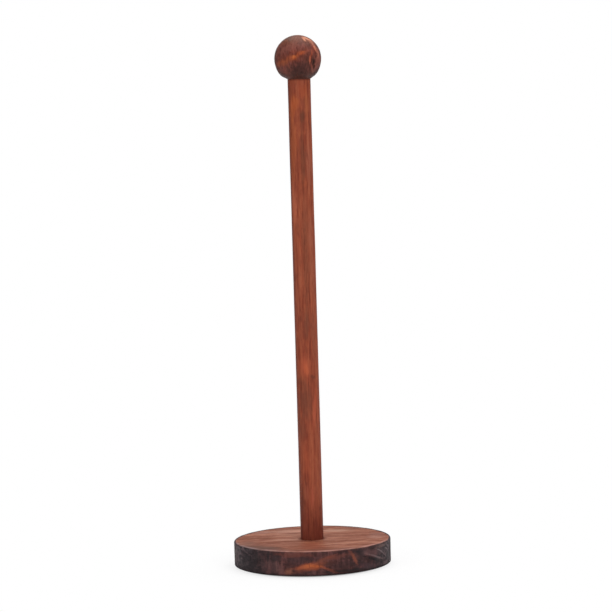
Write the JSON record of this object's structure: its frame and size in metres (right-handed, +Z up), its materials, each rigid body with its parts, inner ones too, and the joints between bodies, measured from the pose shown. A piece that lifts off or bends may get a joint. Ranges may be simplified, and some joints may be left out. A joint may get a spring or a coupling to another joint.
{
  "type": "paper towel holder",
  "caption": "Free-standing worktop holder for a paper towel roll: a turned round wooden base, an upright round post and a ball finial, on felt pads.",
  "frame": {"origin": "on the worktop, the plane of the felt pads' undersides, on the axis of the post", "axes": "+Z up along the post, -Y towards the front, +X to the right"},
  "size_m": [0.11, 0.11, 0.371],
  "materials": {
    "base_wood": "reddish-brown stained hardwood, satin clear coat, grain across the disc",
    "post_wood": "reddish-brown stained hardwood, satin clear coat, grain along the post",
    "ball_wood": "reddish-brown stained hardwood, satin clear coat",
    "screw_steel": "zinc plated",
    "felt": "dark brown wool felt"
  },
  "bodies": {
    "root": {"base": "base_wood", "post": "post_wood", "ball_finial": "ball_wood", "base_screw": "screw_steel", "finial_screw": "screw_steel", "felt_pad_back_right": "felt", "felt_pad_back_left": "felt", "felt_pad_front_left": "felt", "felt_pad_front_right": "felt"}
  },
  "joints": []
}
